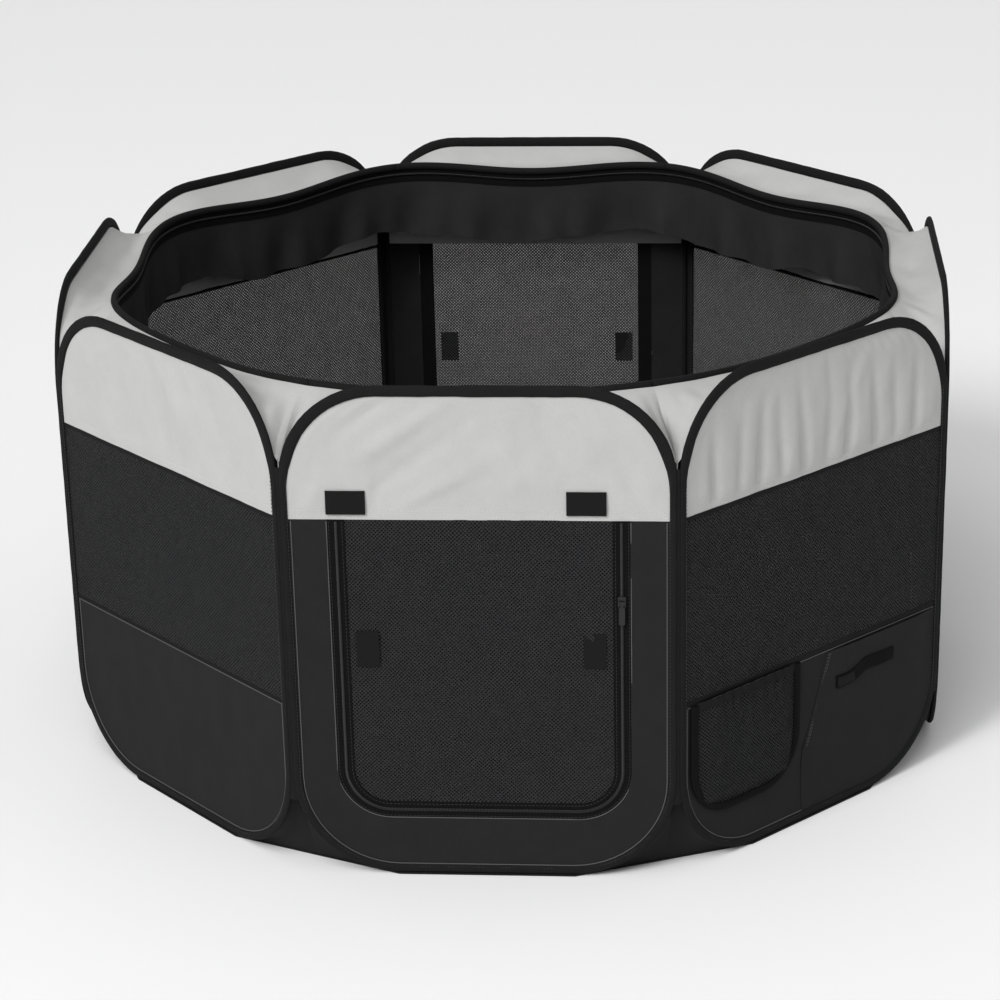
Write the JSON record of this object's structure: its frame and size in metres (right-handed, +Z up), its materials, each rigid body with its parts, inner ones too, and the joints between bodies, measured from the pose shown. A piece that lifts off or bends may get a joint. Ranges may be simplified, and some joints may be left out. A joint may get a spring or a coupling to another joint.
{
  "type": "pet playpen",
  "caption": "Pop-up fabric playpen: mesh-sided ring of flat walls on sprung wire hoops, zipped roll-up doors, soft rim, sewn floor, folds at every corner.",
  "frame": {"origin": "centre of the floor mat's underside", "axes": "+Z up; the front door wall faces -Y; +X to the right as seen from in front of it"},
  "size_m": [1.0924, 1.1, 0.61],
  "materials": {
    "spring_steel": "satin",
    "black_binding": "matte",
    "grey_oxford": "matte",
    "dark_oxford": "matte",
    "mesh_black": "matte",
    "zip_black": "satin",
    "slider_black": "satin",
    "hook_loop": "matte",
    "skirt_black": "matte"
  },
  "bodies": {
    "front_flap_body": {"front_flap": "mesh_black", "front_patches": "hook_loop"},
    "front_tab_left_body": {"front_tab_left": "hook_loop"},
    "front_tab_right_body": {"front_tab_right": "hook_loop"},
    "front_slider_body": {"front_slider": "slider_black"},
    "front_pull_body": {"front_pull": "slider_black"},
    "front_wall": {"front_hoop": "spring_steel", "front_binding": "black_binding", "front_top": "grey_oxford", "front_surround": "dark_oxford", "front_zip": "zip_black", "floor": "dark_oxford", "rim_zip": "zip_black", "skirt": "skirt_black", "shelf": "grey_oxford"},
    "front_right_wall": {"front_right_hoop": "spring_steel", "front_right_binding": "black_binding", "front_right_top": "grey_oxford", "front_right_mesh": "mesh_black", "front_right_lower": "dark_oxford", "mesh_pocket": "mesh_black", "mesh_pocket_binding": "black_binding", "flat_pocket": "dark_oxford", "hook_strip": "hook_loop"},
    "right_wall": {"right_hoop": "spring_steel", "right_binding": "black_binding", "right_top": "grey_oxford", "right_mesh": "mesh_black", "right_lower": "dark_oxford"},
    "rear_right_wall": {"rear_right_hoop": "spring_steel", "rear_right_binding": "black_binding", "rear_right_top": "grey_oxford", "rear_right_mesh": "mesh_black", "rear_right_lower": "dark_oxford"},
    "rear_flap_body": {"rear_flap": "mesh_black", "rear_patches": "hook_loop"},
    "rear_tab_left_body": {"rear_tab_left": "hook_loop"},
    "rear_tab_right_body": {"rear_tab_right": "hook_loop"},
    "rear_slider_body": {"rear_slider": "slider_black"},
    "rear_pull_body": {"rear_pull": "slider_black"},
    "rear_wall": {"rear_hoop": "spring_steel", "rear_binding": "black_binding", "rear_top": "grey_oxford", "rear_surround": "dark_oxford", "rear_zip": "zip_black"},
    "rear_left_wall": {"rear_left_hoop": "spring_steel", "rear_left_binding": "black_binding", "rear_left_top": "grey_oxford", "rear_left_mesh": "mesh_black", "rear_left_lower": "dark_oxford"},
    "left_wall": {"left_hoop": "spring_steel", "left_binding": "black_binding", "left_top": "grey_oxford", "left_mesh": "mesh_black", "left_lower": "dark_oxford"},
    "front_left_wall": {"front_left_hoop": "spring_steel", "front_left_binding": "black_binding", "front_left_top": "grey_oxford", "front_left_mesh": "mesh_black", "front_left_lower": "dark_oxford"}
  },
  "joints": [
    {"name": "fold_front_left", "type": "hinge", "parent": "front_wall", "child": "front_left_wall", "pos_m": [-0.22334, -0.5392, 0.3], "axis": [0, 0, -1], "range_deg": [0, 130], "deforming": ["shelf", "skirt", "rim_zip"]},
    {"name": "fold_left", "type": "hinge", "parent": "front_left_wall", "child": "left_wall", "pos_m": [-0.5444, -0.2255, 0.3], "axis": [0, 0, 1], "range_deg": [0, 130]},
    {"name": "fold_rear_left", "type": "hinge", "parent": "left_wall", "child": "rear_left_wall", "pos_m": [-0.5392, 0.22334, 0.3], "axis": [0, 0, -1], "range_deg": [0, 130]},
    {"name": "fold_front_right", "type": "hinge", "parent": "front_wall", "child": "front_right_wall", "pos_m": [0.2255, -0.5444, 0.3], "axis": [0, 0, -1], "range_deg": [0, 130]},
    {"name": "fold_right", "type": "hinge", "parent": "front_right_wall", "child": "right_wall", "pos_m": [0.5392, -0.22334, 0.3], "axis": [0, 0, 1], "range_deg": [0, 130]},
    {"name": "fold_rear_right", "type": "hinge", "parent": "right_wall", "child": "rear_right_wall", "pos_m": [0.5444, 0.2255, 0.3], "axis": [0, 0, -1], "range_deg": [0, 130]},
    {"name": "fold_rear", "type": "hinge", "parent": "rear_right_wall", "child": "rear_wall", "pos_m": [0.22334, 0.5392, 0.3], "axis": [0, 0, 1], "range_deg": [0, 130]},
    {"name": "front_flap_hinge", "type": "hinge", "parent": "front_wall", "child": "front_flap_body", "pos_m": [0, -0.5439, 0.4496], "axis": [-1, 0, 0], "range_deg": [0, 150]},
    {"name": "front_tab_left_hinge", "type": "hinge", "parent": "front_wall", "child": "front_tab_left_body", "pos_m": [-0.149, -0.54495, 0.485], "axis": [-1, 0, 0], "range_deg": [0, 175]},
    {"name": "front_tab_right_hinge", "type": "hinge", "parent": "front_wall", "child": "front_tab_right_body", "pos_m": [0.122, -0.54495, 0.485], "axis": [-1, 0, 0], "range_deg": [0, 175]},
    {"name": "front_slider_slide", "type": "slide", "parent": "front_wall", "child": "front_slider_body", "axis": [0, 0, 1], "range_m": [-0.2, 0.07]},
    {"name": "front_pull_swing", "type": "hinge", "parent": "front_slider_body", "child": "front_pull_body", "pos_m": [0.161, -0.5484, 0.352], "axis": [-1, 0, 0], "range_deg": [0, 150]},
    {"name": "rear_flap_hinge", "type": "hinge", "parent": "rear_wall", "child": "rear_flap_body", "pos_m": [0, 0.5439, 0.4496], "axis": [1, 0, 0], "range_deg": [0, 150]},
    {"name": "rear_tab_left_hinge", "type": "hinge", "parent": "rear_wall", "child": "rear_tab_left_body", "pos_m": [0.149, 0.54495, 0.485], "axis": [1, 0, 0], "range_deg": [0, 175]},
    {"name": "rear_tab_right_hinge", "type": "hinge", "parent": "rear_wall", "child": "rear_tab_right_body", "pos_m": [-0.122, 0.54495, 0.485], "axis": [1, 0, 0], "range_deg": [0, 175]},
    {"name": "rear_slider_slide", "type": "slide", "parent": "rear_wall", "child": "rear_slider_body", "axis": [0, 0, 1], "range_m": [-0.2, 0.07]},
    {"name": "rear_pull_swing", "type": "hinge", "parent": "rear_slider_body", "child": "rear_pull_body", "pos_m": [-0.161, 0.5484, 0.352], "axis": [1, 0, 0], "range_deg": [0, 150]}
  ],
  "couplings": [
    {"joint": "fold_left", "follows": "fold_front_left", "ratio": 1},
    {"joint": "fold_rear_left", "follows": "fold_front_left", "ratio": 1},
    {"joint": "fold_front_right", "follows": "fold_front_left", "ratio": 1},
    {"joint": "fold_right", "follows": "fold_front_left", "ratio": 1},
    {"joint": "fold_rear_right", "follows": "fold_front_left", "ratio": 1},
    {"joint": "fold_rear", "follows": "fold_front_left", "ratio": 1}
  ]
}
